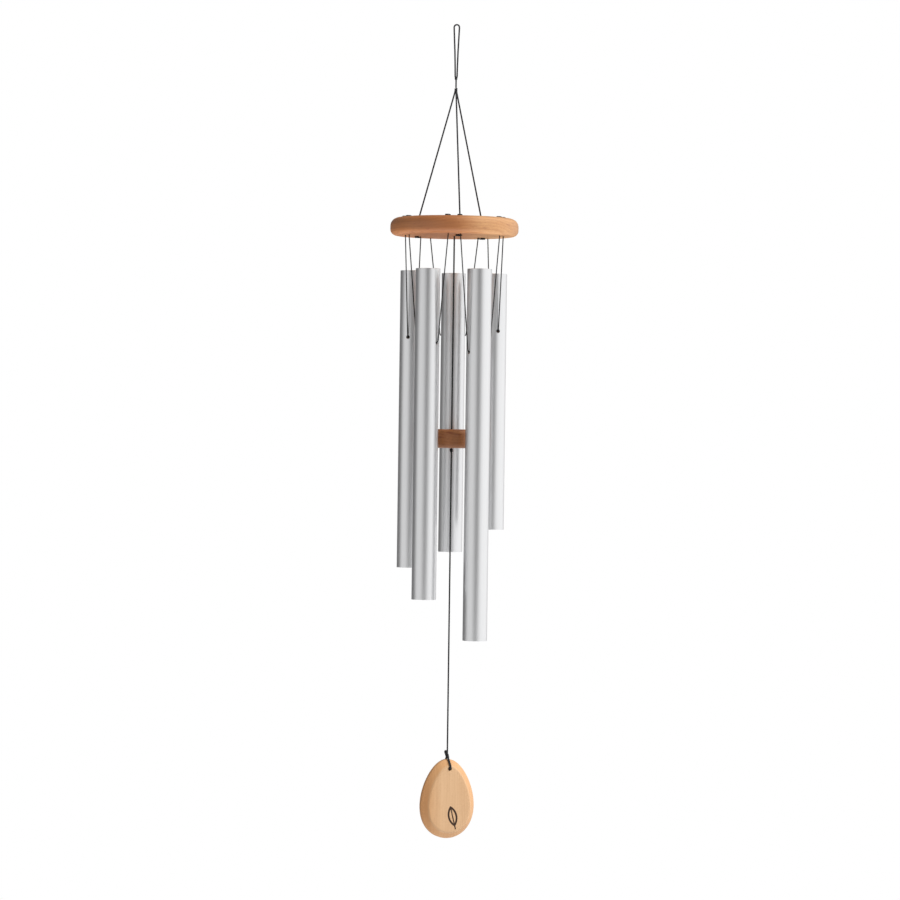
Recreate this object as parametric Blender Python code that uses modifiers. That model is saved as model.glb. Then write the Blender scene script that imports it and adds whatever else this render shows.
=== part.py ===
"""A hanging wind chime: five aluminium tubes under a round beech disc, with a beech striker and sail.

Metres, +Z up, front towards -Y. The origin is the point at the top of the hanging loop
where a hook bears. Angles round the chime are counted from the front, towards +X.
"""

import math

import bmesh
import bpy
from mathutils import Matrix, Vector

# Cords
CORD_DIAMETER = 0.0014
SLING_DIAMETER = 0.0010
BEND_RADIUS = 0.0024
CONTACT_GAP = 0.0003
FLEX_GAP = 0.0006

# Hanging loop, link and gathering knot, from the hook's bearing point down
LOOP_DROP = 0.0460
LOOP_BASE_SPREAD = 0.00085
LOOP_KNOT_RADII = (0.0015, 0.0013, 0.0015)
LINK_LENGTH = 0.0070
GATHER_KNOT_RADII = (0.0016, 0.0015, 0.0018)
GATHER_RADIUS = 0.0010

# Top disc. Its centre stands off the loop's plumb line, so that it hangs level
# under tubes of unlike weight.
DISC_CENTRE = Vector((0.0003, 0.0021))
DISC_TOP = -0.1742
DISC_THICKNESS = 0.0160
DISC_DIAMETER = 0.1160
DISC_TOP_ROUNDING = 0.0075
DISC_BOTTOM_ROUNDING = 0.0055
SUPPORT_HOLE_RADIUS = 0.0330
SUPPORT_ANGLES = {"front": 8.2, "right": 132.0, "left": 257.4}
HOLE_DIAMETER = 0.0026
FLAT_KNOT_RADII = (0.0036, 0.0022, 0.0012)
STOPPER_KNOT_SHIFT = -0.0013
SUPPORT_KNOT_SHIFTS = {"front": -0.0008, "right": 0.0012, "left": -0.0007}

# Tubes: one scale of lengths, each hung at the node of its lowest note
TUBE_OUTER_DIAMETER = 0.0220
TUBE_WALL = 0.0015
TUBE_RING_RADIUS = 0.0393
NODE_SHARE = 0.2242
TUBE_HOLE_DIAMETER = 0.0032
SLING_HALF_SPREAD = 0.0218
TUBES = {
    "left": {"angle": -108.0, "length": 0.2695, "top_drop": 0.0312},
    "front_left": {"angle": -36.0, "length": 0.2965, "top_drop": 0.0310},
    "back": {"angle": 180.0, "length": 0.2550, "top_drop": 0.0320},
    "front_right": {"angle": 36.0, "length": 0.3330, "top_drop": 0.0308},
    "right": {"angle": 108.0, "length": 0.2320, "top_drop": 0.0332},
}

# Striker on the centre cord
NECK_LENGTH = 0.0060
STRIKER_CENTRE = -0.3734
STRIKER_THICKNESS = 0.0170
STRIKER_DIAMETER = 0.0400
STRIKER_TOP_ROUNDING = 0.0050
STRIKER_BOTTOM_ROUNDING = 0.0045
STRIKER_BORE = 0.0024
STRIKER_KNOT_RADII = (0.0019, 0.0019, 0.0017)

# Sail, an egg with its point up, turned a little about the cord
SAIL_TOP = -0.6636
SAIL_HEIGHT = 0.0715
SAIL_WIDTH = 0.0510
SAIL_THICKNESS = 0.0155
SAIL_TAPER = 0.186
SAIL_CHAMFER = 0.0058
SAIL_HOLE_DROP = 0.0080
SAIL_HOLE_DIAMETER = 0.0034
SAIL_HOLE_SINK = 0.00025
SAIL_YAW = math.radians(20.0)
TIE_HALF_SPREAD = 0.00068
TIE_KNOT_RADII = (0.0017, 0.0016, 0.0036)
TIE_KNOT_LEAN = math.radians(-16.0)

# Facets
ROUND_STEPS = 64
TUBE_STEPS = 32
ROUNDING_STEPS = 5
SAIL_STEPS = 64
HOLE_STEPS = 14

DISC_BOTTOM = DISC_TOP - DISC_THICKNESS


# Scene, materials and placing


def clear_scene():
    for obj in list(bpy.data.objects):
        bpy.data.objects.remove(obj, do_unlink=True)


def new_collection(name):
    made = bpy.data.collections.new(name)
    bpy.context.scene.collection.children.link(made)
    return made


def new_material(name, colour, roughness, metallic):
    made = bpy.data.materials.new(name)
    made.use_nodes = True
    shader = made.node_tree.nodes["Principled BSDF"]
    shader.inputs["Base Color"].default_value = (*colour, 1.0)
    shader.inputs["Roughness"].default_value = roughness
    shader.inputs["Metallic"].default_value = metallic
    made.diffuse_color = (*colour, 1.0)
    return made


clear_scene()
PARTS = new_collection("wind_chime")
HELPERS = new_collection("wind_chime_helpers")
CORD = new_material("cord", (0.045, 0.045, 0.05), 0.85, 0.0)
DISC_BEECH = new_material("disc_beech", (0.50, 0.27, 0.13), 0.5, 0.0)
STRIKER_BEECH = new_material("striker_beech", (0.36, 0.19, 0.10), 0.5, 0.0)
SAIL_BEECH = new_material("sail_beech", (0.66, 0.42, 0.24), 0.5, 0.0)
ALUMINIUM = new_material("aluminium", (0.80, 0.80, 0.81), 0.32, 1.0)


def add_part(name, data, material, at, parent=None, yaw=0.0):
    """A part at a place in world space, carried by its parent."""
    data.materials.append(material)
    part = bpy.data.objects.new(name, data)
    PARTS.objects.link(part)
    place = Matrix.Translation(at) @ Matrix.Rotation(yaw, 4, "Z")
    if parent is not None:
        part.parent = parent
        place = parent_place(parent).inverted() @ place
    part.location = place.to_translation()
    part.rotation_euler = place.to_euler()
    return part


def parent_place(part):
    """A part's place in world space, from its own and its parents' locations and rotations."""
    place = part.matrix_basis.copy()
    return parent_place(part.parent) @ place if part.parent else place


def add_helper(part, name, data):
    """A cutter or a shape to join, carried by the part and left out of it."""
    helper = bpy.data.objects.new(name, data)
    HELPERS.objects.link(helper)
    helper.parent = part
    helper.hide_render = True
    helper.display_type = "WIRE"
    return helper


def boolean(part, helper, operation):
    made = part.modifiers.new(helper.name, "BOOLEAN")
    made.operation = operation
    made.object = helper
    return made


# Shapes


def mesh_of(name, shape):
    data = bpy.data.meshes.new(name)
    shape.to_mesh(data)
    shape.free()
    data.shade_smooth()
    data.set_sharp_from_angle(angle=math.radians(35))
    return data


def ball(name, radii, lean=0.0):
    """An ellipsoid, leaning about its Y axis."""
    shape = bmesh.new()
    bmesh.ops.create_uvsphere(shape, u_segments=16, v_segments=8, radius=1.0)
    stretch = Matrix.Diagonal((*radii, 1.0))
    bmesh.ops.transform(shape, matrix=Matrix.Rotation(lean, 4, "Y") @ stretch, verts=shape.verts)
    return mesh_of(name, shape)


def rods(name, places, diameter, top, bottom, steps=HOLE_STEPS):
    """Upright cylinders at places (x, y), between two heights."""
    shape = bmesh.new()
    for x, y in places:
        bmesh.ops.create_cone(
            shape,
            cap_ends=True,
            segments=steps,
            radius1=diameter / 2,
            radius2=diameter / 2,
            depth=top - bottom,
            matrix=Matrix.Translation((x, y, (top + bottom) / 2)),
        )
    return mesh_of(name, shape)


def cross_rod(name, diameter, length, axis, steps=HOLE_STEPS):
    """A cylinder centred on the origin, lying along X or Y."""
    turn = Matrix.Rotation(math.pi / 2, 4, "Y" if axis == "X" else "X")
    shape = bmesh.new()
    bmesh.ops.create_cone(
        shape,
        cap_ends=True,
        segments=steps,
        radius1=diameter / 2,
        radius2=diameter / 2,
        depth=length,
        matrix=turn,
    )
    return mesh_of(name, shape)


def profile_mesh(name, profile, closed):
    """The edges of a profile of (radius, height) points in the XZ plane."""
    shape = bmesh.new()
    points = [shape.verts.new((radius, 0.0, height)) for radius, height in profile]
    for first, second in zip(points, points[1:]):
        shape.edges.new((first, second))
    if closed:
        shape.edges.new((points[-1], points[0]))
    data = bpy.data.meshes.new(name)
    shape.to_mesh(data)
    shape.free()
    return data


def turn_round(part, steps):
    screw = part.modifiers.new("turned", "SCREW")
    screw.axis = "Z"
    screw.steps = steps
    screw.render_steps = steps
    screw.use_merge_vertices = True
    screw.merge_threshold = 0.00001
    return screw


def arc(centre, radius, start, end, steps):
    """Points on an arc in a plane, from one angle to another."""
    return [
        (
            centre[0] + radius * math.cos(start + (end - start) * i / steps),
            centre[1] + radius * math.sin(start + (end - start) * i / steps),
        )
        for i in range(steps + 1)
    ]


def rounded_disc_profile(diameter, thickness, top_rounding, bottom_rounding):
    """Half the section of a disc with rounded edges, centred on the origin, top to bottom."""
    top_corner = (diameter / 2 - top_rounding, thickness / 2 - top_rounding)
    bottom_corner = (diameter / 2 - bottom_rounding, bottom_rounding - thickness / 2)
    outline = [(0.0, thickness / 2)]
    outline += arc(top_corner, top_rounding, math.pi / 2, 0.0, ROUNDING_STEPS)
    outline += arc(bottom_corner, bottom_rounding, 0.0, -math.pi / 2, ROUNDING_STEPS)
    outline.append((0.0, -thickness / 2))
    return outline


def rounded_route(points, radius, steps=5):
    """A route of straight runs with each corner rounded."""
    points = [Vector(point) for point in points]
    route = [points[0]]
    for before, corner, after in zip(points, points[1:], points[2:]):
        back, on = (before - corner).normalized(), (after - corner).normalized()
        half = back.angle(on) / 2
        centre = corner + (back + on).normalized() * radius / math.sin(half)
        start = corner + back * radius / math.tan(half)
        end = corner + on * radius / math.tan(half)
        for i in range(steps + 1):
            ray = (start - centre).slerp(end - centre, i / steps)
            route.append(centre + ray.normalized() * radius)
    route.append(points[-1])
    return route


def cord_curve(name, route, diameter):
    data = bpy.data.curves.new(name, "CURVE")
    data.dimensions = "3D"
    data.bevel_depth = diameter / 2
    data.bevel_resolution = 2
    data.use_fill_caps = True
    spline = data.splines.new("POLY")
    spline.points.add(len(route) - 1)
    for point, place in zip(spline.points, route):
        point.co = (*place, 1.0)
    return data


def cord_mesh(name, route, diameter):
    """A cord as one closed mesh, for joining to a knot."""
    curve = bpy.data.objects.new(name, cord_curve(name, route, diameter))
    bpy.context.scene.collection.objects.link(curve)
    graph = bpy.context.evaluated_depsgraph_get()
    data = bpy.data.meshes.new_from_object(curve.evaluated_get(graph))
    shape = bmesh.new()
    shape.from_mesh(data)
    bmesh.ops.remove_doubles(shape, verts=shape.verts, dist=0.00001)
    shape.to_mesh(data)
    shape.free()
    bpy.data.objects.remove(curve, do_unlink=True)
    return data


def round_the_axis(angle, radius):
    """The place at an angle in degrees from the front and a radius, about the disc's centre."""
    turn = math.radians(angle)
    return Vector((radius * math.sin(turn), -radius * math.cos(turn)))


def straight_cord(name, top, bottom, parent):
    """A plumb cord whose origin is the joint at its top."""
    place = Vector((DISC_CENTRE.x, DISC_CENTRE.y, top))
    route = [(0.0, 0.0, -FLEX_GAP), (0.0, 0.0, bottom - top)]
    return add_part(name, cord_curve(name, route, CORD_DIAMETER), CORD, place, parent)


# Hanging loop down to the gathering knot


def loop_route():
    """Both strands of the loop, parting from the knot and closing in a round top."""
    top = arc((0.0, CORD_DIAMETER / 2 - BEND_RADIUS), BEND_RADIUS, math.pi, 0.0, 8)
    strand = [(-LOOP_BASE_SPREAD, -LOOP_DROP), (-0.0010, -0.0380), (-0.0014, -0.0240)]
    strand.append((-0.0020, -0.0110))
    other = [(-x, z) for x, z in reversed(strand)]
    return [(x, 0.0, z) for x, z in strand + top + other]


def make_hanger():
    loop = add_part(
        "hanging_loop",
        cord_curve("hanging_loop", loop_route(), CORD_DIAMETER),
        CORD,
        Vector((0.0, 0.0, 0.0)),
    )
    knot_middle = -LOOP_DROP - CONTACT_GAP - LOOP_KNOT_RADII[2]
    loop_knot = add_part(
        "loop_knot",
        ball("loop_knot", LOOP_KNOT_RADII),
        CORD,
        Vector((0.0, 0.0, knot_middle)),
        loop,
    )
    link_top = knot_middle - LOOP_KNOT_RADII[2]
    link_route = [(0.0, 0.0, -CONTACT_GAP), (0.0, 0.0, -LINK_LENGTH)]
    link = add_part(
        "link_cord",
        cord_curve("link_cord", link_route, CORD_DIAMETER),
        CORD,
        Vector((0.0, 0.0, link_top)),
        loop_knot,
    )
    gather_middle = link_top - LINK_LENGTH - CONTACT_GAP - GATHER_KNOT_RADII[2]
    return add_part(
        "gather_knot",
        ball("gather_knot", GATHER_KNOT_RADII),
        CORD,
        Vector((0.0, 0.0, gather_middle)),
        link,
    )


# Top disc and what is tied to it


def sling_holes():
    """The holes of each tube's sling: {tube: two places about the disc's centre}."""
    found = {}
    for side, tube in TUBES.items():
        angle = tube["angle"]
        middle = round_the_axis(angle, TUBE_RING_RADIUS)
        along = round_the_axis(angle + 90.0, SLING_HALF_SPREAD)
        found[side] = (middle - along, middle + along)
    return found


def make_disc(parent):
    """The disc, with its origin at the middle of its thickness."""
    profile = rounded_disc_profile(
        DISC_DIAMETER, DISC_THICKNESS, DISC_TOP_ROUNDING, DISC_BOTTOM_ROUNDING
    )
    place = Vector((DISC_CENTRE.x, DISC_CENTRE.y, DISC_TOP - DISC_THICKNESS / 2))
    disc = add_part("top_disc", profile_mesh("top_disc", profile, False), DISC_BEECH, place, parent)
    turn_round(disc, ROUND_STEPS)
    places = [place for pair in sling_holes().values() for place in pair]
    places += [round_the_axis(a, SUPPORT_HOLE_RADIUS) for a in SUPPORT_ANGLES.values()]
    places.append(Vector((0.0, 0.0)))
    reach = DISC_THICKNESS
    holes = rods("cord_holes", places, HOLE_DIAMETER, reach, -reach)
    boolean(disc, add_helper(disc, "cord_holes", holes), "DIFFERENCE")
    return disc


def make_support(side, angle, disc, gather_bottom):
    """A cord from the gathering knot down through the disc, and the knot under it."""
    foot = DISC_CENTRE + round_the_axis(angle, SUPPORT_HOLE_RADIUS)
    start = round_the_axis(angle, GATHER_RADIUS)
    head = Vector((start.x, start.y, gather_bottom - CONTACT_GAP))
    bend = Vector((foot.x, foot.y, DISC_TOP + 0.0008))
    end = Vector((foot.x, foot.y, DISC_BOTTOM))
    route = [point - head for point in rounded_route((head, bend, end), BEND_RADIUS)]
    name = f"support_cord_{side}"
    add_part(name, cord_curve(name, route, CORD_DIAMETER), CORD, head, disc)
    name = f"support_knot_{side}"
    drop = CONTACT_GAP + FLAT_KNOT_RADII[2]
    place = end + Vector((SUPPORT_KNOT_SHIFTS[side], 0.0, -drop))
    add_part(name, ball(name, FLAT_KNOT_RADII), CORD, place, disc)


def add_top_knot(name, place, diameter, disc):
    """A stopper knot lying on the disc, with the stub of cord that fills its hole."""
    rise = CONTACT_GAP + FLAT_KNOT_RADII[2]
    shift = Vector((STOPPER_KNOT_SHIFT, 0.0))
    at = Vector((*(DISC_CENTRE + place + shift), DISC_TOP + rise))
    knot = add_part(name, ball(name, FLAT_KNOT_RADII), CORD, at, disc)
    stub = rods(f"{name}_stub", [-shift], diameter, 0.0, DISC_BOTTOM - at.z)
    boolean(knot, add_helper(knot, f"{name}_stub", stub), "UNION")


# Tubes


def make_sling(side, disc):
    """The cord that carries a tube: down to its two holes and across inside it."""
    tube = TUBES[side]
    angle = tube["angle"]
    middle = DISC_CENTRE + round_the_axis(angle, TUBE_RING_RADIUS)
    drop = tube["top_drop"] + NODE_SHARE * tube["length"]
    half_tube = TUBE_OUTER_DIAMETER / 2 + CONTACT_GAP + SLING_DIAMETER / 2
    corners = [
        (-SLING_HALF_SPREAD, 0.0, -FLEX_GAP),
        (-half_tube, 0.0, -drop),
        (half_tube, 0.0, -drop),
        (SLING_HALF_SPREAD, 0.0, -FLEX_GAP),
    ]
    name = f"sling_{side}"
    curve = cord_curve(name, rounded_route(corners, BEND_RADIUS), SLING_DIAMETER)
    place = Vector((middle.x, middle.y, DISC_BOTTOM))
    return add_part(name, curve, CORD, place, disc, math.radians(angle))


def make_tube(side, sling):
    """A tube with its origin where the sling crosses it."""
    angle, length, top_drop = TUBES[side].values()
    node = NODE_SHARE * length
    middle = DISC_CENTRE + round_the_axis(angle, TUBE_RING_RADIUS)
    outer = TUBE_OUTER_DIAMETER / 2
    inner = outer - TUBE_WALL
    top, bottom = node, node - length
    section = [(outer, top), (outer, bottom), (inner, bottom), (inner, top)]
    name = f"tube_{side}"
    place = Vector((middle.x, middle.y, DISC_BOTTOM - top_drop - node))
    data = profile_mesh(name, section, True)
    tube = add_part(name, data, ALUMINIUM, place, sling, math.radians(angle))
    turn_round(tube, TUBE_STEPS)
    drill = cross_rod(f"{name}_holes", TUBE_HOLE_DIAMETER, 3 * outer, "X")
    boolean(tube, add_helper(tube, f"{name}_holes", drill), "DIFFERENCE")


# Striker and sail on the centre cord


def make_striker(cord):
    profile = rounded_disc_profile(
        STRIKER_DIAMETER, STRIKER_THICKNESS, STRIKER_TOP_ROUNDING, STRIKER_BOTTOM_ROUNDING
    )
    place = Vector((DISC_CENTRE.x, DISC_CENTRE.y, STRIKER_CENTRE))
    data = profile_mesh("striker", profile, False)
    striker = add_part("striker", data, STRIKER_BEECH, place, cord)
    turn_round(striker, ROUND_STEPS)
    reach = STRIKER_THICKNESS
    bore = rods("striker_bore", [(0.0, 0.0)], STRIKER_BORE, reach, -reach)
    boolean(striker, add_helper(striker, "striker_bore", bore), "DIFFERENCE")


def egg_outline(inset, steps):
    """The sail's outline about its middle height, drawn in by an even inset."""
    half_height = SAIL_HEIGHT / 2
    widest = max(
        math.sin(t) * (1 - SAIL_TAPER * math.cos(t))
        for t in (math.pi * i / 360 for i in range(361))
    )
    points = []
    for i in range(steps):
        t = 2 * math.pi * i / steps
        x = SAIL_WIDTH / 2 * math.sin(t) * (1 - SAIL_TAPER * math.cos(t)) / widest
        points.append(Vector((x, half_height * math.cos(t))))
    drawn = []
    for i, point in enumerate(points):
        along = (points[(i + 1) % steps] - points[i - 1]).normalized()
        drawn.append(point + Vector((along.y, -along.x)) * inset)
    return drawn


def make_sail(tie):
    """The sail, with its origin where its tie crosses the hole."""
    half = SAIL_THICKNESS / 2
    levels = (
        (-half, SAIL_CHAMFER),
        (SAIL_CHAMFER - half, 0.0),
        (half - SAIL_CHAMFER, 0.0),
        (half, SAIL_CHAMFER),
    )
    middle = SAIL_HOLE_DROP - SAIL_HEIGHT / 2
    shape = bmesh.new()
    rings = []
    for depth, inset in levels:
        outline = egg_outline(inset, SAIL_STEPS)
        rings.append([shape.verts.new((p.x, depth, p.y + middle)) for p in outline])
    for ring, following in zip(rings, rings[1:]):
        bmesh.ops.bridge_loops(shape, edges=ring_edges(shape, ring) + ring_edges(shape, following))
    for ring in (rings[0], rings[-1]):
        shape.faces.new(ring)
    bmesh.ops.recalc_face_normals(shape, faces=shape.faces)
    place = Vector((DISC_CENTRE.x, DISC_CENTRE.y, SAIL_TOP - SAIL_HOLE_DROP))
    sail = add_part("sail", mesh_of("sail", shape), SAIL_BEECH, place, tie, SAIL_YAW)
    drill = cross_rod("sail_hole", SAIL_HOLE_DIAMETER, 3 * SAIL_THICKNESS, "Y")
    cutter = add_helper(sail, "sail_hole", drill)
    cutter.location.z = -SAIL_HOLE_SINK
    boolean(sail, cutter, "DIFFERENCE")


def ring_edges(shape, ring):
    """The edges round a ring of points, made where there are none yet."""
    found = []
    for first, second in zip(ring, ring[1:] + ring[:1]):
        found.append(shape.edges.get((first, second)) or shape.edges.new((first, second)))
    return found


def make_sail_tie(parent, top):
    """The leaning knot above the sail, with its doubled loop down the front and through the hole."""
    hole = SAIL_TOP - SAIL_HOLE_DROP
    middle = top - CONTACT_GAP - TIE_KNOT_RADII[2]
    place = Vector((DISC_CENTRE.x, DISC_CENTRE.y, top))
    knot = ball("sail_tie", TIE_KNOT_RADII, TIE_KNOT_LEAN)
    knot.transform(Matrix.Translation((0.0, 0.0, middle - top)))
    tie = add_part("sail_tie", knot, CORD, place, parent, SAIL_YAW)
    clear = CONTACT_GAP + CORD_DIAMETER / 2
    face = SAIL_THICKNESS / 2 + clear
    rise = clear * (math.sqrt(2) - 1)
    half_loop = [
        (0.0, -TIE_HALF_SPREAD, middle - top),
        (0.0, SAIL_CHAMFER - SAIL_THICKNESS / 2 - rise, SAIL_TOP + clear - top),
        (0.0, -face, SAIL_TOP - SAIL_CHAMFER + rise - top),
        (0.0, -face, hole - top),
    ]
    other_half = [(x, -y, z) for x, y, z in reversed(half_loop)]
    route = rounded_route(half_loop + other_half, 0.0010, 4)
    for side, shift in (("left", -TIE_HALF_SPREAD), ("right", TIE_HALF_SPREAD)):
        name = f"sail_tie_strand_{side}"
        loop = cord_mesh(name, [point + Vector((shift, 0, 0)) for point in route], CORD_DIAMETER)
        boolean(tie, add_helper(tie, name, loop), "UNION")
    return tie


def make_centre_line(disc):
    """The centre cord in its stretches, with the striker, the sail and their knots."""
    neck_bottom = DISC_BOTTOM - NECK_LENGTH
    neck = straight_cord("clapper_neck", DISC_BOTTOM, neck_bottom, disc)
    striker_bottom = STRIKER_CENTRE - STRIKER_THICKNESS / 2
    cord = straight_cord("clapper_cord", neck_bottom, striker_bottom, neck)
    make_striker(cord)
    knot_middle = striker_bottom - CONTACT_GAP - STRIKER_KNOT_RADII[2]
    place = Vector((DISC_CENTRE.x, DISC_CENTRE.y, knot_middle))
    add_part("striker_knot", ball("striker_knot", STRIKER_KNOT_RADII), CORD, place, cord)
    sail_neck_top = knot_middle - STRIKER_KNOT_RADII[2]
    sail_neck_bottom = sail_neck_top - NECK_LENGTH
    sail_neck = straight_cord("sail_neck", sail_neck_top, sail_neck_bottom, cord)
    tie_top = SAIL_TOP + 0.0010 + CONTACT_GAP + 2 * TIE_KNOT_RADII[2]
    sail_cord = straight_cord("sail_cord", sail_neck_bottom, tie_top, sail_neck)
    make_sail(make_sail_tie(sail_cord, tie_top))


def make_wind_chime():
    gather = make_hanger()
    gather_bottom = parent_place(gather).translation.z - GATHER_KNOT_RADII[2]
    disc = make_disc(gather)
    for side, angle in SUPPORT_ANGLES.items():
        make_support(side, angle, disc, gather_bottom)
    for side, places in sling_holes().items():
        for letter, place in zip("ab", places):
            name = f"sling_{side}_knot_{letter}"
            add_top_knot(name, place, SLING_DIAMETER, disc)
        make_tube(side, make_sling(side, disc))
    add_top_knot("centre_knot", Vector((0.0, 0.0)), CORD_DIAMETER, disc)
    make_centre_line(disc)


make_wind_chime()
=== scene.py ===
"""Looks of the hanging wind chime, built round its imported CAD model.

Metres, +Z up, front towards -Y. The origin is the point at the top of the hanging loop
where a hook bears. Angles round the chime are counted from the front, towards +X.
"""

import math

import bmesh
import bpy
import numpy as np
from mathutils import Euler, Matrix, Vector


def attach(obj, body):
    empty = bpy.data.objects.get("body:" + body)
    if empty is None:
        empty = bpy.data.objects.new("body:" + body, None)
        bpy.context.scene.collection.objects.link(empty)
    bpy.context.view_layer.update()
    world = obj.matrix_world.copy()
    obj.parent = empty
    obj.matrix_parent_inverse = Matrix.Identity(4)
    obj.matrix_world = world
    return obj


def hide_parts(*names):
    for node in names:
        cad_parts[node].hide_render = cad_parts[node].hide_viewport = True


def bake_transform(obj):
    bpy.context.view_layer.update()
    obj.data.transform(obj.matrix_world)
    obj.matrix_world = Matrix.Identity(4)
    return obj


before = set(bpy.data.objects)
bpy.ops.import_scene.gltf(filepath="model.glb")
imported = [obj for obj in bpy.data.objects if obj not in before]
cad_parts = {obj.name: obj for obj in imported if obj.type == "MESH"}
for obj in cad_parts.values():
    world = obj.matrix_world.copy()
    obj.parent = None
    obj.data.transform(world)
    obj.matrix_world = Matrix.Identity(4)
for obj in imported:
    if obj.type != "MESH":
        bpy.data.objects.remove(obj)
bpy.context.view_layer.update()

# Routes and sizes repeated from the CAD source
CORD_DIAMETER = 0.0014
SLING_DIAMETER = 0.0010
BEND_RADIUS = 0.0024
CONTACT_GAP = 0.0003

LOOP_KNOT_MIDDLE = -0.0478
LINK_TOP = -0.0493
LINK_BOTTOM = -0.0563
GATHER_KNOT_MIDDLE = -0.0584
GATHER_BOTTOM = -0.0602
GATHER_RADIUS = 0.0010

DISC_CENTRE = Vector((0.0003, 0.0021))
DISC_TOP = -0.1742
DISC_THICKNESS = 0.0160
DISC_BOTTOM = DISC_TOP - DISC_THICKNESS
DISC_DIAMETER = 0.1160
DISC_TOP_ROUNDING = 0.0075
DISC_BOTTOM_ROUNDING = 0.0055
SUPPORT_HOLE_RADIUS = 0.0330
SUPPORT_ANGLES = {"front": 8.2, "right": 132.0, "left": 257.4}
HOLE_DIAMETER = 0.0026

TUBE_OUTER_DIAMETER = 0.0220
TUBE_WALL = 0.0015
TUBE_RING_RADIUS = 0.0393
NODE_SHARE = 0.2242
TUBE_HOLE_DIAMETER = 0.0032
SLING_HALF_SPREAD = 0.0218
TUBES = {
    "left": {"angle": -108.0, "length": 0.2695, "top_drop": 0.0312},
    "front_left": {"angle": -36.0, "length": 0.2965, "top_drop": 0.0310},
    "back": {"angle": 180.0, "length": 0.2550, "top_drop": 0.0320},
    "front_right": {"angle": 36.0, "length": 0.3330, "top_drop": 0.0308},
    "right": {"angle": 108.0, "length": 0.2320, "top_drop": 0.0332},
}

STRIKER_CENTRE = -0.3734
STRIKER_THICKNESS = 0.0170
STRIKER_DIAMETER = 0.0400
STRIKER_TOP_ROUNDING = 0.0050
STRIKER_BOTTOM_ROUNDING = 0.0045
STRIKER_BORE = 0.0024
STRIKER_KNOT_MIDDLE = -0.3839

SAIL_TOP = -0.6636
SAIL_HEIGHT = 0.0715
SAIL_WIDTH = 0.0510
SAIL_THICKNESS = 0.0155
SAIL_TAPER = 0.186
SAIL_CHAMFER = 0.0058
SAIL_HOLE_DROP = 0.0080
SAIL_HOLE_DIAMETER = 0.0034
SAIL_HOLE_SINK = 0.00025
SAIL_YAW = math.radians(20.0)
TIE_HALF_SPREAD = 0.00068
TIE_KNOT_MIDDLE = -0.6590

# The hanging loop's strand from the knot up, as distance from the middle and height
LOOP_FOOT = (0.0006, LOOP_KNOT_MIDDLE + 0.0007)
LOOP_STRAND = ((0.00085, -0.0460), (0.0010, -0.0380), (0.0014, -0.0240), (0.0020, -0.0110))

# Knots: the size of the round ones, the radius and count of the wrapped ones' turns, and the
# strand that draws each, pulled tighter than the free cord. The knots on the disc lie turned
# by an angle in degrees, with a longer or shorter cut tail
KNOT_STRAND = 0.0012
LOOP_KNOT_SIZE = 0.00078
LOOP_KNOT_STRAND = 0.00086
STRIKER_KNOT_SIZE = 0.00096
STRIKER_KNOT_STRAND = 0.00106
STRIKER_KNOT_TURN = 0.5
GATHER_STRAND = 0.00094
GATHER_WRAP_RADIUS = 0.00098
GATHER_WRAPS = 3.4
TIE_STRAND = 0.00112
TIE_WRAP_RADIUS = 0.00112
TIE_WRAP_PITCH = 0.00122
TIE_WRAPS = 5.2
TIE_STRAND_SHIFT = 0.00032
TIE_KNOT_LEAN = math.radians(-19.0)
SUPPORT_KNOT_LAY = {"front": (6.0, 1.0), "right": (172.0, 1.9), "left": (-8.0, 0.7)}
SLING_KNOT_LAY = {
    "left": ((8.0, 0.8), (-14.0, 1.2)),
    "front_left": ((-18.0, 1.3), (4.0, 1.0)),
    "back": ((160.0, 1.0), (22.0, 0.9)),
    "front_right": ((-6.0, 0.5), (12.0, 1.1)),
    "right": ((-25.0, 1.2), (15.0, 0.8)),
}
CENTRE_KNOT_LAY = (35.0, 1.0)

# Braid: strands seen round the cord, how far each crown stands proud, the spacing of the
# rings of crowns, and the last two rings of a cut end, all as a share of the cord's width
BRAID_SIDES = 8
BRAID_RELIEF = 0.07
BRAID_SPACING = 0.40
CUT_END = (1.04, 0.62)

# Small roundings, and how finely the pieces are cut into faces
HOLE_FLARE = 0.0003
TUBE_EDGE_ROUNDING = 0.00016
DISC_STEPS = 192
STRIKER_STEPS = 144
SAIL_STEPS = 168
TUBE_STEPS = 96
HOLE_STEPS = 28
ROUNDING_STEPS = 12
SHARP_ANGLE = math.radians(32.0)

# Camera: level with the middle of the chime, three metres off
CAMERA_DISTANCE = 3.08
CAMERA_HEIGHT = -0.361
CAMERA_AIM = Vector((-0.0010, 0.0, -0.3837))
CAMERA_ROLL = math.radians(0.775)
CAMERA_LENS = 136.2

# Studio: a dim room with two soft walls of light, each an azimuth, the half-width at full
# strength, the half-width where it has faded out, its strength, and whether it stands from
# floor to ceiling
ROOM_GREY = 0.17
WALLS = ((88.0, 30.0, 88.0, 0.92, True), (-53.0, 14.0, 55.0, 0.64, False))
FLOOR_HEIGHT = -2.20
FLOOR_RADIUS = 3.2
FLOOR_GREY = 0.80
FLOOR_GLOW = 0.42

# Wood: its shaders work in millimetres. The tones are the pale of the lit side, the tan of the
# shaded side, dark heartwood and the flames of the figure; pale and tan paint light and shade
# across each piece. The leaf is burned into the sail
MILLIMETRES = (1000.0, 1000.0, 1000.0)
RING_SPACING = 2.6
BROWN_TONES = (
    (0.540, 0.293, 0.127),
    (0.430, 0.170, 0.060),
    (0.250, 0.084, 0.026),
    (0.165, 0.036, 0.012),
)
PALE_TONES = (
    (0.745, 0.475, 0.262),
    (0.640, 0.345, 0.150),
    (0.420, 0.190, 0.070),
    (0.520, 0.260, 0.110),
)
LEAF_CENTRE = (0.0030, 0.0, -0.0512)
LEAF_TILT = math.radians(14.0)


# Camera, light and floor


def colour(red, green, blue):
    return (red, green, blue, 1.0)


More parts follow.
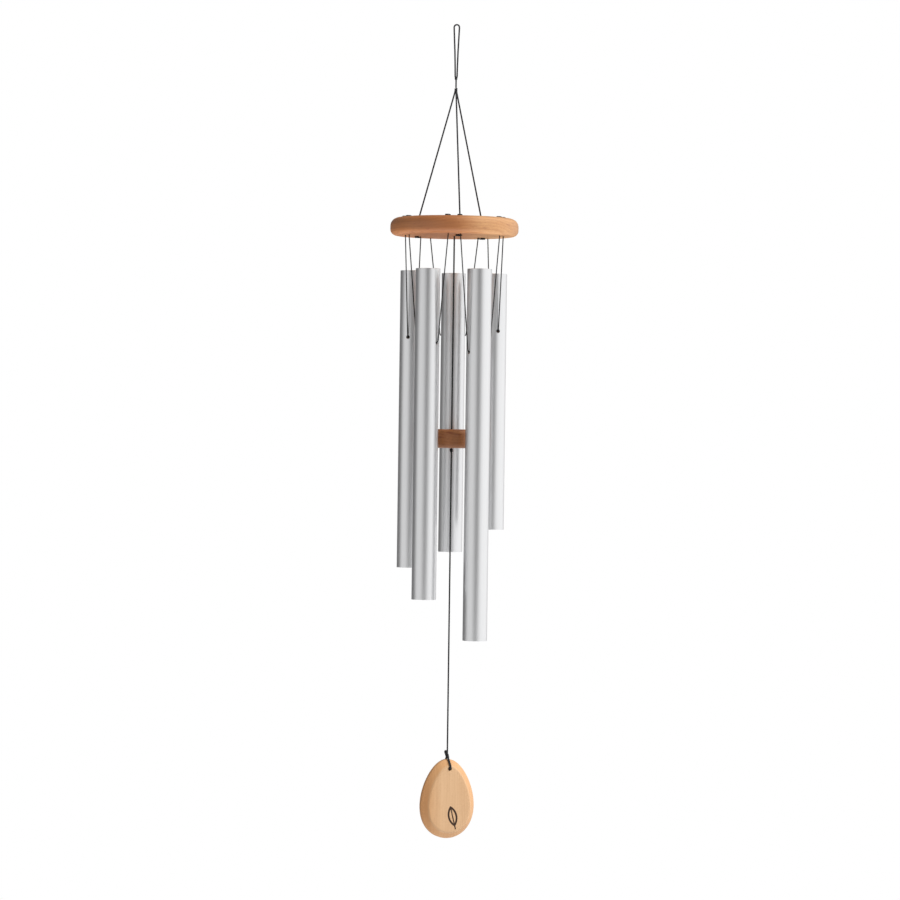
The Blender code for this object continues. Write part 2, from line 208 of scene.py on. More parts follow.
def link(name, data):
    """A new object in the scene."""
    made = bpy.data.objects.new(name, data)
    bpy.context.scene.collection.objects.link(made)
    return made


def make_camera():
    data = bpy.data.cameras.new("camera")
    data.lens = CAMERA_LENS
    data.sensor_width = 36.0
    data.clip_start = 0.05
    data.clip_end = 60.0
    camera = link("camera", data)
    place = Vector((CAMERA_AIM.x, -CAMERA_DISTANCE, CAMERA_HEIGHT))
    turn = (CAMERA_AIM - place).to_track_quat("-Z", "Y").to_matrix().to_4x4()
    camera.matrix_world = Matrix.Translation(place) @ turn @ Matrix.Rotation(CAMERA_ROLL, 4, "Z")
    bpy.context.scene.camera = camera


def add_panel(name, aim, azimuth, elevation, distance, size, radiance):
    """A softbox that faces a height on the chime's line and isn't mirrored in the tubes."""
    data = bpy.data.lights.new(name, "AREA")
    data.shape = "RECTANGLE"
    data.size, data.size_y = size
    data.energy = radiance * math.pi * size[0] * size[1]
    panel = link(name, data)
    turn, rise = math.radians(azimuth), math.radians(elevation)
    level = math.cos(rise)
    out = Vector((math.sin(turn) * level, -math.cos(turn) * level, math.sin(rise)))
    place = Vector((0.0, 0.0, aim)) + out * distance
    facing = out.to_track_quat("Z", "Y").to_matrix().to_4x4()
    panel.matrix_world = Matrix.Translation(place) @ facing
    panel.visible_camera = False
    panel.visible_glossy = False
    return panel


def light_only(panel, piece):
    """Keeps the panel's light off everything but one piece."""
    reached = bpy.data.collections.new(f"{panel.name}_reaches")
    reached.objects.link(piece)
    panel.light_linking.receiver_collection = reached


def make_world():
    """White to the camera. To everything else a dim room with the soft walls of light."""
    world = bpy.data.worlds.new("studio")
    bpy.context.scene.world = world
    world.use_nodes = True
    nodes, links = world.node_tree.nodes, world.node_tree.links
    place = nodes.new("ShaderNodeTexCoord").outputs["Generated"]
    level = nodes.new("ShaderNodeVectorMath")
    level.operation = "MULTIPLY"
    level.inputs[1].default_value = (1.0, 1.0, 0.0)
    links.new(place, level.inputs[0])
    flat = nodes.new("ShaderNodeVectorMath")
    flat.operation = "NORMALIZE"
    links.new(level.outputs[0], flat.inputs[0])
    glow = None
    for azimuth, full, gone, strength, tall in WALLS:
        turn = math.radians(azimuth)
        facing = nodes.new("ShaderNodeVectorMath")
        facing.operation = "DOT_PRODUCT"
        facing.inputs[1].default_value = (math.sin(turn), -math.cos(turn), 0.0)
        links.new(flat.outputs[0] if tall else place, facing.inputs[0])
        wall = nodes.new("ShaderNodeMapRange")
        wall.interpolation_type = "SMOOTHSTEP"
        wall.inputs["From Min"].default_value = math.cos(math.radians(gone))
        wall.inputs["From Max"].default_value = math.cos(math.radians(full))
        wall.inputs["To Max"].default_value = strength
        links.new(facing.outputs["Value"], wall.inputs["Value"])
        total = nodes.new("ShaderNodeMath")
        total.operation = "ADD"
        total.inputs[1].default_value = ROOM_GREY
        if glow is not None:
            links.new(glow, total.inputs[1])
        links.new(wall.outputs[0], total.inputs[0])
        glow = total.outputs[0]
    room = nodes["Background"]
    links.new(glow, room.inputs["Color"])
    seen = nodes.new("ShaderNodeBackground")
    seen.inputs["Color"].default_value = colour(1.0, 1.0, 1.0)
    path = nodes.new("ShaderNodeLightPath")
    mix = nodes.new("ShaderNodeMixShader")
    links.new(path.outputs["Is Camera Ray"], mix.inputs[0])
    links.new(room.outputs[0], mix.inputs[1])
    links.new(seen.outputs[0], mix.inputs[2])
    links.new(mix.outputs[0], nodes["World Output"].inputs["Surface"])


def make_studio():
    add_panel(
        "panel_high",
        aim=-0.37,
        azimuth=66.0,
        elevation=54.0,
        distance=2.0,
        size=(1.7, 1.4),
        radiance=6.2,
    )
    make_world()
    shape = bmesh.new()
    bmesh.ops.create_circle(shape, cap_ends=True, segments=96, radius=FLOOR_RADIUS)
    data = bpy.data.meshes.new("floor")
    shape.to_mesh(data)
    shape.free()
    floor = link("floor", data)
    floor.location = (0.0, 0.0, FLOOR_HEIGHT)
    paint = bpy.data.materials.new("floor")
    paint.use_nodes = True
    shader = paint.node_tree.nodes["Principled BSDF"]
    shader.inputs["Base Color"].default_value = colour(FLOOR_GREY, FLOOR_GREY, FLOOR_GREY)
    shader.inputs["Roughness"].default_value = 0.9
    shader.inputs["Emission Color"].default_value = colour(1.0, 1.0, 1.0)
    shader.inputs["Emission Strength"].default_value = FLOOR_GLOW
    data.materials.append(paint)
    bpy.context.scene.view_settings.view_transform = "Standard"


# Shader graphs


class Graph:
    """A material and short ways to add to its nodes."""

    def __init__(self, name):
        self.material = bpy.data.materials.new(name)
        self.material.use_nodes = True
        self.nodes = self.material.node_tree.nodes
        self.links = self.material.node_tree.links
        self.shader = self.nodes["Principled BSDF"]

    def put(self, socket, value):
        if isinstance(value, bpy.types.NodeSocket):
            self.links.new(value, socket)
        else:
            socket.default_value = value

    def add(self, kind, inputs, output=0, **settings):
        node = self.nodes.new(kind)
        for key, value in settings.items():
            setattr(node, key, value)
        for key, value in inputs.items():
            self.put(node.inputs[key], value)
        return node.outputs[output]

    def math(self, operation, first, second=0.0, third=0.0, clamp=False):
        inputs = {0: first, 1: second, 2: third}
        return self.add("ShaderNodeMath", inputs, operation=operation, use_clamp=clamp)

    def vector(self, operation, first, second=(0.0, 0.0, 0.0), output=0):
        inputs = {0: first, 1: second}
        return self.add("ShaderNodeVectorMath", inputs, output, operation=operation)

    def stretch(self, vector, scale):
        return self.vector("MULTIPLY", vector, scale)

    def combine(self, x, y=0.0, z=0.0):
        return self.add("ShaderNodeCombineXYZ", {0: x, 1: y, 2: z})

    def noise(self, vector, detail=2.0, roughness=0.5):
        inputs = {"Vector": vector, "Scale": 1.0, "Detail": detail, "Roughness": roughness}
        return self.add("ShaderNodeTexNoise", inputs)

    def steps(self, value, low, high):
        """0 below low, 1 above high, smooth between."""
        inputs = {"Value": value, "From Min": low, "From Max": high}
        return self.add("ShaderNodeMapRange", inputs, interpolation_type="SMOOTHSTEP")

    def mix(self, share, first, second, blend="MIX"):
        node = self.nodes.new("ShaderNodeMix")
        node.data_type = "RGBA"
        node.blend_type = blend
        self.put(node.inputs[0], share)
        self.put(node.inputs[6], first)
        self.put(node.inputs[7], second)
        return node.outputs[2]

    def bump(self, height, strength, distance):
        inputs = {"Height": height, "Strength": strength, "Distance": distance}
        return self.add("ShaderNodeBump", inputs)

    def set(self, **values):
        for key, value in values.items():
            self.put(self.shader.inputs[key.replace("_", " ")], value)


def beech(name, middle, turns, pith, tones, painted_light_side, heart, figure, mark=None):
    """Beech with growth rings, rays and pores, solid through the piece.

    The turns bring the piece's axes round, one after another, until X runs along the grain.
    pith is how far the tree's heart lies from the piece's middle, in millimetres. The argument
    after tones is the stretch along X, in millimetres, over which the tone goes from the tan of
    the shaded side to the pale of the lit side: painted light and shade across the piece,
    broken by random patches. heart is where the darker heartwood starts, is full, is still
    full and ends along X, with its share, and figure is how strongly the rings, fibres, rays
    and pores show. mark may change the tone, height and roughness afterwards.
    """
    pale, tan, dark, red = (colour(*tone) for tone in tones)
    g = Graph(name)
    coordinates = g.add("ShaderNodeTexCoord", {}, "Object")
    local = g.vector("SUBTRACT", coordinates, tuple(middle))
    local = g.stretch(local, MILLIMETRES)
    grain, along_grain = local, Vector((1.0, 0.0, 0.0))
    for turn in turns:
        grain = g.add("ShaderNodeMapping", {"Vector": grain, "Rotation": turn})
    for turn in reversed(turns):
        along_grain = Euler(turn).to_matrix().inverted() @ along_grain

    # Distance from the pith, bent by a slow drift and a finer ripple, and the way round it
    drift = g.noise(g.stretch(grain, (0.012, 0.040, 0.040)), 2.0)
    ripple = g.noise(g.stretch(grain, (0.06, 0.25, 0.25)), 2.0)
    from_pith = g.add("ShaderNodeSeparateXYZ", {"Vector": g.vector("ADD", grain, pith)})
    along, across, up = from_pith.node.outputs
    square = g.math("ADD", g.math("MULTIPLY", across, across), g.math("MULTIPLY", up, up))
    warp = g.math("ADD", g.math("MULTIPLY", drift, 9.0), g.math("MULTIPLY", ripple, 1.5))
    radius = g.math("ADD", g.math("SQRT", square), warp)
    arc_length = g.math("MULTIPLY", g.math("ARCTAN2", across, up), Vector(pith).length)

    # Late wood darkens towards each ring's end, then stops short
    ring = g.math("FRACT", g.math("DIVIDE", radius, RING_SPACING))
    late = g.math("MULTIPLY", g.steps(ring, 0.35, 0.93), g.steps(ring, 1.0, 0.96))
    wide = g.combine(g.math("MULTIPLY", radius, 0.16), g.math("MULTIPLY", along, 0.006))
    broad = g.steps(g.noise(wide, 1.0), 0.35, 0.65)
    # Rays are short flecks, pores and fibres run along the grain, flames lie across it
    spots = g.combine(
        g.math("MULTIPLY", along, 0.75),
        g.math("MULTIPLY", arc_length, 2.4),
        g.math("MULTIPLY", radius, 0.42),
    )
    ray = g.steps(g.noise(spots, 1.0, 0.5), 0.57, 0.70)
    pores = g.steps(g.noise(g.stretch(grain, (0.30, 4.6, 4.6)), 1.0, 0.6), 0.55, 0.74)
    fibre = g.noise(g.stretch(grain, (0.035, 1.6, 1.6)), 3.0, 0.6)
    flame = g.combine(
        g.math("MULTIPLY_ADD", along, 0.045, 1.1),
        g.math("MULTIPLY", arc_length, 0.16),
        g.math("MULTIPLY", radius, 0.62),
    )
    flame = g.steps(g.noise(flame, 1.0, 0.5), 0.62, 0.73)
    cloud = g.noise(g.stretch(grain, (0.020, 0.060, 0.060)), 2.0)

    # End grain, where the surface faces along the grain
    normal = g.add("ShaderNodeTexCoord", {}, "Normal")
    endness = g.math("ABSOLUTE", g.vector("DOT_PRODUCT", normal, tuple(along_grain), "Value"))
    end = g.steps(endness, 0.45, 1.0)

    # Painted light and shade from side to side of the piece, tan on the shaded side and pale on
    # the lit side, broken by random patches, then the figure over it
    side = g.add("ShaderNodeSeparateXYZ", {"Vector": local})
    patchy = g.math("MULTIPLY_ADD", cloud, 0.9, -0.45)
    painted_light_and_patches = g.math("ADD", g.steps(side, *painted_light_side), patchy, clamp=True)
    tone = g.mix(painted_light_and_patches, tan, pale)
    if heart is not None:
        starts, full, fades, ends, share = heart
        middle_wood = g.math("MULTIPLY", g.steps(side, starts, full), g.steps(side, ends, fades))
        tone = g.mix(g.math("MULTIPLY", middle_wood, share), tone, dark)
    tone = g.mix(g.math("MULTIPLY", g.steps(fibre, 0.30, 0.75), figure), tone, dark)
    tone = g.mix(g.math("MULTIPLY", late, 0.8 * figure), tone, dark)
    tone = g.mix(g.math("MULTIPLY", broad, 0.15), tone, dark)
    tone = g.mix(g.math("MULTIPLY", ray, 0.87 * figure), tone, dark)
    tone = g.mix(g.math("MULTIPLY", pores, 0.87 * figure), tone, dark)
    flame_share = g.math("MULTIPLY_ADD", end, -1.2 * figure, 1.6 * figure)
    tone = g.mix(g.math("MULTIPLY", flame, flame_share), tone, red)
    tone = g.mix(g.math("MULTIPLY", end, 0.16), tone, dark)

    hollow = g.math("ADD", g.math("MULTIPLY", ray, 0.3), g.math("MULTIPLY", pores, 0.6))
    height = g.math("SUBTRACT", g.math("MULTIPLY", fibre, 0.5), hollow)
    rough = g.math("ADD", g.math("MULTIPLY", fibre, 0.16), 0.38)
    if mark is not None:
        tone, height, rough = mark(g, coordinates, tone, height, rough)
    g.set(
        Base_Color=tone,
        Roughness=rough,
        Specular_IOR_Level=0.42,
        Coat_Weight=0.2,
        Coat_Roughness=0.32,
        Normal=g.bump(height, 0.28, 0.00012),
    )
    return g.material


def burned_leaf(g, place, tone, height, rough):
    """A small burned leaf, low on the sail's face, and painted shade, browner and more orange,
    on the sail's chamfers and rim.

    The leaf's outline is where two circles meet, and its vein runs down the middle. All is in
    millimetres from the leaf's middle.
    """
    centre = sail_place() @ Vector(LEAF_CENTRE)
    local = g.vector("SUBTRACT", place, tuple(centre))
    inputs = {"Vector": local, "Rotation": (0.0, 0.0, -SAIL_YAW), "Scale": MILLIMETRES}
    level = g.add("ShaderNodeMapping", inputs)
    leaf = g.add("ShaderNodeMapping", {"Vector": level, "Rotation": (0.0, LEAF_TILT, 0.0)})
    split = g.add("ShaderNodeSeparateXYZ", {"Vector": leaf})
    x, y, z = split.node.outputs
    sides = []
    for side in (-1.0, 1.0):
        shifted = g.combine(g.math("ADD", x, side * 8.0), 0.0, z)
        sides.append(g.vector("LENGTH", shifted, output="Value"))
    reach = g.math("MAXIMUM", *sides)
    outline = g.math("MULTIPLY", g.steps(reach, 10.6, 10.85), g.steps(reach, 12.65, 12.4))
    vein = g.steps(g.math("ABSOLUTE", x), 0.70, 0.50)
    vein = g.math("MULTIPLY", vein, g.steps(g.math("ABSOLUTE", g.math("ADD", z, 2.2)), 10.2, 9.9))
    on_face = g.steps(y, -7.0, -7.2)
    burned = g.math("MULTIPLY", g.math("MAXIMUM", outline, vein), on_face)
    soft = g.noise(g.stretch(level, (2.0, 2.0, 2.0)), 2.0)
    share = g.math("MULTIPLY", burned, g.math("MULTIPLY_ADD", soft, 0.2, 0.9), clamp=True)
    # Painted shade: off the flat faces, over the chamfers and rim, the wood is made browner and
    # more orange
    painted_shade_rim = g.math("MULTIPLY", g.steps(g.math("ABSOLUTE", y), 7.5, 6.2), 0.8)
    tone = g.mix(painted_shade_rim, tone, g.mix(1.0, tone, colour(1.0, 0.86, 0.69), "MULTIPLY"))
    tone = g.mix(share, tone, colour(0.034, 0.012, 0.003))
    height = g.math("SUBTRACT", height, g.math("MULTIPLY", burned, 1.5))
    rough = g.math("ADD", rough, g.math("MULTIPLY", burned, 0.3))
    return tone, height, rough


def satin_aluminium(name):
    """Drawn tube, satin finished along its length, with faint scratches."""
    g = Graph(name)
    place = g.add("ShaderNodeTexCoord", {}, "Generated")
    drawn = g.noise(g.stretch(place, (26.0, 26.0, 0.9)), 3.0, 0.6)
    fine = g.noise(g.stretch(place, (130.0, 130.0, 2.4)), 2.0, 0.6)
    cloud = g.noise(g.stretch(place, (2.0, 2.0, 7.0)), 2.0)
    marks = g.steps(g.noise(g.stretch(place, (70.0, 70.0, 320.0)), 1.0), 0.70, 0.78)
    rough = g.math("ADD", g.math("MULTIPLY", drawn, 0.02), g.math("MULTIPLY", cloud, 0.06))
    rough = g.math("ADD", g.math("ADD", rough, 0.325), g.math("MULTIPLY", marks, 0.06))
    tone = g.mix(g.steps(drawn, 0.3, 0.7), colour(0.785, 0.788, 0.795), colour(0.808, 0.811, 0.818))
    height = g.math("ADD", g.math("MULTIPLY", fine, 0.6), g.math("MULTIPLY", drawn, 0.8))
    height = g.math("SUBTRACT", height, g.math("MULTIPLY", marks, 0.25))
    g.set(
        Base_Color=tone,
        Metallic=1.0,
        Roughness=rough,
        Normal=g.bump(height, 0.06, 0.00002),
    )
    return g.material


def braided_polyester(name):
    """Dark braid, with painted light on the crowns and painted shade in the gaps between strands.
    """
    g = Graph(name)
    crown = g.add("ShaderNodeAttribute", {}, "Fac", attribute_name="crown")
    uv = g.add("ShaderNodeTexCoord", {}, "UV")
    threads = g.noise(g.stretch(uv, (48.0, 7.0, 1.0)), 2.0, 0.6)
    fleck = g.noise(g.stretch(uv, (9.0, 9.0, 1.0)), 2.0, 0.6)
    # Painted shade in the gaps between strands and painted light on the crowns
    tone = g.mix(crown, colour(0.010, 0.010, 0.011), colour(0.022, 0.022, 0.024))
    worn = g.math("MULTIPLY", g.steps(fleck, 0.45, 0.75), 0.4)
    tone = g.mix(worn, tone, colour(0.055, 0.055, 0.060))
    height = g.math("ADD", g.math("MULTIPLY", threads, 0.6), g.math("MULTIPLY", crown, 0.8))
    rough = g.math("ADD", g.math("MULTIPLY", threads, 0.2), 0.55)
    g.set(
        Base_Color=tone,
        Roughness=rough,
        Specular_IOR_Level=0.28,
        Sheen_Weight=0.08,
        Sheen_Roughness=0.5,
        Normal=g.bump(height, 0.5, 0.00008),
    )
    return g.material


# Shapes


def add_piece(name, data, material, body, nodes):
    """A finished piece that stands for CAD nodes and rides on a body, if one is given."""
    data.materials.clear()
    data.materials.append(material)
    piece = link(name, data)
    if body is not None:
        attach(piece, body)
    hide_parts(*nodes)
    return piece


def mesh_from(shape, name):
    """The shape as mesh data, with its faces turned outwards."""
    bmesh.ops.recalc_face_normals(shape, faces=shape.faces)
    data = bpy.data.meshes.new(name)
    shape.to_mesh(data)
    shape.free()
    return data


def arc(centre, radius, start, end, steps):
    return [
        (
            centre[0] + radius * math.cos(start + (end - start) * i / steps),
            centre[1] + radius * math.sin(start + (end - start) * i / steps),
        )
        for i in range(steps + 1)
    ]


def lathe(profile, segments, closed):
    """A turned body: rings for the profile's (radius, height) points, capped if not closed."""
    shape = bmesh.new()
    rings = []
    for radius, height in profile:
        ring = []
        for i in range(segments):
            turn = 2 * math.pi * i / segments
            ring.append(shape.verts.new((radius * math.cos(turn), radius * math.sin(turn), height)))
        rings.append(ring)
    following = rings[1:] + (rings[:1] if closed else [])
    for ring, after in zip(rings, following):
        for i in range(segments):
            j = (i + 1) % segments
            shape.faces.new((ring[i], ring[j], after[j], after[i]))
    if not closed:
        shape.faces.new(rings[0])
        shape.faces.new(rings[-1])
    return shape


def rounded_edge_profile(diameter, thickness, top_rounding, bottom_rounding):
    radius, half = diameter / 2, thickness / 2
    centre = (radius - top_rounding, half - top_rounding)
    top = arc(centre, top_rounding, math.pi / 2, 0.0, ROUNDING_STEPS)
    centre = (radius - bottom_rounding, bottom_rounding - half)
    foot = arc(centre, bottom_rounding, 0.0, -math.pi / 2, ROUNDING_STEPS)
    return top + foot


def drill_profile(diameter, half_length, mouth):
    """A drill that runs both ways from its middle and opens a small flare at each mouth."""
    radius = diameter / 2
    end = radius + HOLE_FLARE + half_length - mouth
    straight = mouth - HOLE_FLARE
    return [(end, half_length), (radius, straight), (radius, -straight), (end, -half_length)]


def drilled(data, profile, places, name):
    """The mesh with a drill of that profile cut from it at each place, a matrix."""
    shape = bmesh.new()
    for place in places:
        one = mesh_from(lathe(profile, HOLE_STEPS, False), "drill")
        one.transform(place)
        shape.from_mesh(one)
        bpy.data.meshes.remove(one)
    tool_data = bpy.data.meshes.new("drills")
    shape.to_mesh(tool_data)
    shape.free()
    tool = link("drills", tool_data)
    work = link("work", data)
    cut = work.modifiers.new("drill", "BOOLEAN")
    cut.operation = "DIFFERENCE"
    cut.solver = "EXACT"
    cut.object = tool
    graph = bpy.context.evaluated_depsgraph_get()
    made = bpy.data.meshes.new_from_object(work.evaluated_get(graph))
    made.name = name
    for obj in (tool, work):
        bpy.data.objects.remove(obj, do_unlink=True)
    bpy.data.meshes.remove(tool_data)
    made.shade_smooth()
    made.set_sharp_from_angle(angle=SHARP_ANGLE)
    return made


# Cord


def smooth_through(points, steps=8):
    """A Catmull-Rom curve through the points, in that many steps from each to the next."""
    points = [np.array(p, float) for p in points]
    points = [2 * points[0] - points[1]] + points + [2 * points[-1] - points[-2]]
    out = []
    for a, b, c, d in zip(points, points[1:], points[2:], points[3:]):
        for i in range(steps):
            t = i / steps
            out.append(
                0.5
                * (
                    2 * b
                    + (c - a) * t
                    + (2 * a - 5 * b + 4 * c - d) * t * t
                    + (3 * b - a - 3 * c + d) * t * t * t
                )
            )
    out.append(points[-2])
    return np.array(out)


def rounded_route(points, radius, steps=8):
    """A route of straight runs with each corner rounded."""
    points = [Vector(point) for point in points]
    route = [points[0]]
    for before, corner, after in zip(points, points[1:], points[2:]):
        back, on = (before - corner).normalized(), (after - corner).normalized()
        half = back.angle(on) / 2
        centre = corner + (back + on).normalized() * radius / math.sin(half)
        start = corner + back * radius / math.tan(half)
        end = corner + on * radius / math.tan(half)
        for i in range(steps + 1):
            ray = (start - centre).slerp(end - centre, i / steps)
            route.append(centre + ray.normalized() * radius)
    route.append(points[-1])
    return np.array([tuple(p) for p in route])


def resampled(path, step):
    """Points evenly spaced along the path, and how far along it each one lies."""
    path = np.asarray(path, float)
    reach = np.concatenate([[0.0], np.cumsum(np.linalg.norm(np.diff(path, axis=0), axis=1))])
    count = max(2, int(round(reach[-1] / step)))
    at = np.linspace(0.0, reach[-1], count + 1)
    return np.stack([np.interp(at, reach, path[:, k]) for k in range(3)], axis=1), at


def turned_frames(points):
    """Two directions across the path at each point, carried along it without twist."""
    ahead = np.gradient(points, axis=0)
    ahead /= np.linalg.norm(ahead, axis=1)[:, None]
    first = np.cross(ahead[0], (0.0, 1.0, 0.0))
    if np.linalg.norm(first) < 0.2:
        first = np.cross(ahead[0], (1.0, 0.0, 0.0))
    sides = [first / np.linalg.norm(first)]
    for direction in ahead[1:]:
        side = sides[-1] - direction * (sides[-1] @ direction)
        sides.append(side / np.linalg.norm(side))
    sides = np.array(sides)
    return sides, np.cross(ahead, sides)


def braid_mesh(name, path, diameter, cut_end=False):
    """A braided cord along a path: each ring's crowns sit over the last ring's gaps.

    A cut end swells a little and is then drawn in.
    """
    sides = BRAID_SIDES
    points, reach = resampled(path, diameter * BRAID_SPACING)
    across, over = turned_frames(points)
    rings, crowns = [], []
    turns = 2 * np.pi * np.arange(sides) / sides
    parity = np.where(np.arange(sides) % 2 == 0, 1.0, -1.0)
    for i, centre in enumerate(points):
        lift = parity * (1 if i % 2 == 0 else -1)
        radius = diameter / 2 * (1 + BRAID_RELIEF * lift)
        if cut_end and i >= len(points) - 2:
            radius = radius * CUT_END[i - len(points)]
        ring = centre + radius[:, None] * (
            np.cos(turns)[:, None] * across[i] + np.sin(turns)[:, None] * over[i]
        )
        rings.append(ring)
        crowns.append((lift + 1) / 2)
    vertices = np.concatenate(rings)
    faces = []
    for i in range(len(points) - 1):
        for j in range(sides):
            k = (j + 1) % sides
            faces.append((i * sides + j, i * sides + k, (i + 1) * sides + k, (i + 1) * sides + j))
    last = (len(points) - 1) * sides
    faces.append(tuple(range(sides))[::-1])
    faces.append(tuple(last + j for j in range(sides)))
    data = bpy.data.meshes.new(name)
    data.from_pydata(vertices.tolist(), [], faces)
    # The crowns' share, also read by the cord's shader for its painted shade in the gaps
    attribute = data.attributes.new("crown", "FLOAT", "POINT")
    attribute.data.foreach_set("value", np.concatenate(crowns).astype(np.float32))
    layer = data.uv_layers.new(name="braid")
    girth = math.pi * diameter
    uv = np.zeros((len(data.loops), 2), np.float32)
    for polygon in data.polygons:
        spots = [data.loops[loop].vertex_index for loop in polygon.loop_indices]
        seam = max(s % sides for s in spots) == sides - 1 and min(s % sides for s in spots) == 0
        for loop, spot in zip(polygon.loop_indices, spots):
            around = spot % sides
            if seam and around == 0 and len(spots) == 4:
                around = sides
            uv[loop] = (around / sides, reach[spot // sides] / girth)
    layer.data.foreach_set("uv", uv.ravel())
    data.validate()
    data.shade_smooth()
    return data


def joined(name, parts):
    """Several cord meshes as one, with their braid data."""
    shape = bmesh.new()
    for part in parts:
        shape.from_mesh(part)
    data = bpy.data.meshes.new(name)
    shape.to_mesh(data)
    shape.free()
    for part in parts:
        bpy.data.meshes.remove(part)
    data.shade_smooth()
    return data


def round_the_axis(angle, radius):
    turn = math.radians(angle)
    return Vector((radius * math.sin(turn), -radius * math.cos(turn)))


def flat_knot(diameter, tail):
    """An overhand knot lying flat, in its own axes: its cord comes up out of a hole at the
    origin, the knot lies towards -X and its cut tail points to +X. It is drawn in widths of
    its strand and then scaled."""
    turns = np.radians(np.linspace(330.0, 26.0, 96))
    loops = np.stack(
        [
            (1.0 + 0.5 * np.cos(3 * turns)) * np.cos(2 * turns),
            (1.0 + 0.5 * np.cos(3 * turns)) * np.sin(2 * turns),
            0.28 * np.sin(3 * turns),
        ],
        axis=1,
    )
    rise = [(1.45, 0.0, -3.0), (1.45, 0.0, -2.0), (1.44, -0.03, -1.25)]
    rise += [(1.30, -0.20, -0.62), (0.93, -0.56, -0.36)]
    lay = [(1.75, 0.42, 0.26), (2.35, 0.10, 0.12)]
    lay += [(2.35 + 0.5 * tail, -0.08, -0.10), (2.35 + 1.1 * tail, -0.2, -0.22)]
    path = smooth_through(rise + [tuple(p) for p in loops[::6]] + lay)
    hole = np.array((1.45, 0.0, -0.74))
    return (path - hole) * diameter


def ball_knot(size):
    """A closed overhand knot standing up, seen face on from the front."""
    turns = np.radians(np.linspace(10.0, 350.0, 100))
    around = 1.0 + 0.5 * np.cos(3 * turns)
    return np.stack(
        [around * np.cos(2 * turns), 0.5 * np.sin(3 * turns), around * np.sin(2 * turns)], axis=1
    ) * size


def wraps(radius, pitch, count):
    """Close turns of cord round the Z axis, from the top down, centred on the origin."""
    steps_round = 22
    turns = np.linspace(0.0, 2 * np.pi * count, int(count * steps_round))
    height = pitch * count / 2 - pitch * turns / (2 * np.pi)
    return np.stack([radius * np.cos(turns), radius * np.sin(turns), height], axis=1)


def moved(path, matrix):
    path = np.asarray(path, float)
    turn = np.array(matrix.to_3x3(), float)
    return path @ turn.T + np.array(matrix.to_translation(), float)


# Hanger: loop, link and gathering knot


def make_hanger(cord):
    top = arc((0.0, CORD_DIAMETER / 2 - BEND_RADIUS), BEND_RADIUS, math.pi, 0.0, 16)
    strand = [LOOP_FOOT, *LOOP_STRAND]
    flat = [(-x, z) for x, z in strand] + top + strand[::-1]
    path = np.array([(x, 0.0, z) for x, z in flat])
    data = braid_mesh("loop_cord", path, CORD_DIAMETER)
    loop = add_piece("loop_cord", data, cord, "loop", ["hanging_loop"])
    knot = moved(ball_knot(LOOP_KNOT_SIZE), Matrix.Translation((0.0, 0.0, LOOP_KNOT_MIDDLE)))
    data = braid_mesh("loop_knot_cord", knot, LOOP_KNOT_STRAND)
    add_piece("loop_knot_cord", data, cord, "loop_knot", ["loop_knot"])
    path = [(0.0, 0.0, LINK_TOP + 0.0008), (0.0, 0.0, LINK_BOTTOM - 0.0001)]
    data = braid_mesh("link", path, CORD_DIAMETER)
    add_piece("link", data, cord, "link", ["link_cord"])
    turns = wraps(GATHER_WRAP_RADIUS, GATHER_STRAND, GATHER_WRAPS)
    turns = moved(turns, Matrix.Translation((0.0, 0.0, GATHER_KNOT_MIDDLE)))
    data = braid_mesh("gather_wraps", turns, GATHER_STRAND)
    add_piece("gather_wraps", data, cord, "disc", ["gather_knot"])


# Disc, its knots and the support cords


def knot_at(hole, height, name, node, cord, strand, lay, stub_to):
    """A flat knot at a hole's mouth on top of the disc or under it.

    lay is how it is turned and how long its tail is. stub_to is the height in the hole from
    which its own cord comes.
    """
    turn, tail = lay
    path = flat_knot(strand, tail)
    stub = path[0].copy()
    stub[2] = -abs(stub_to - height)
    path = np.concatenate([[stub], path])
    path[:, 2] *= 1 if height > stub_to else -1
    place = Matrix.Translation((*hole, height)) @ Matrix.Rotation(math.radians(turn), 4, "Z")
    mesh = braid_mesh(name, moved(path, place), strand, cut_end=True)
    return add_piece(name, mesh, cord, "disc", [node])


def sling_holes():
    found = {}
    for side, tube in TUBES.items():
        middle = round_the_axis(tube["angle"], TUBE_RING_RADIUS)
        along = round_the_axis(tube["angle"] + 90.0, SLING_HALF_SPREAD)
        found[side] = (DISC_CENTRE + middle - along, DISC_CENTRE + middle + along)
    return found


def make_disc(wood):
    profile = rounded_edge_profile(
        DISC_DIAMETER, DISC_THICKNESS, DISC_TOP_ROUNDING, DISC_BOTTOM_ROUNDING
    )
    data = mesh_from(lathe(profile, DISC_STEPS, False), "disc")
    middle = Vector((*DISC_CENTRE, DISC_TOP - DISC_THICKNESS / 2))
    data.transform(Matrix.Translation(middle))
    holes = [hole for pair in sling_holes().values() for hole in pair]
    holes += [DISC_CENTRE + round_the_axis(a, SUPPORT_HOLE_RADIUS) for a in SUPPORT_ANGLES.values()]
    holes.append(DISC_CENTRE)
    drill = drill_profile(HOLE_DIAMETER, DISC_THICKNESS, DISC_THICKNESS / 2)
    places = [Matrix.Translation((*hole, middle.z)) for hole in holes]
    data = drilled(data, drill, places, "disc")
    return add_piece("disc", data, wood, "disc", ["top_disc"])


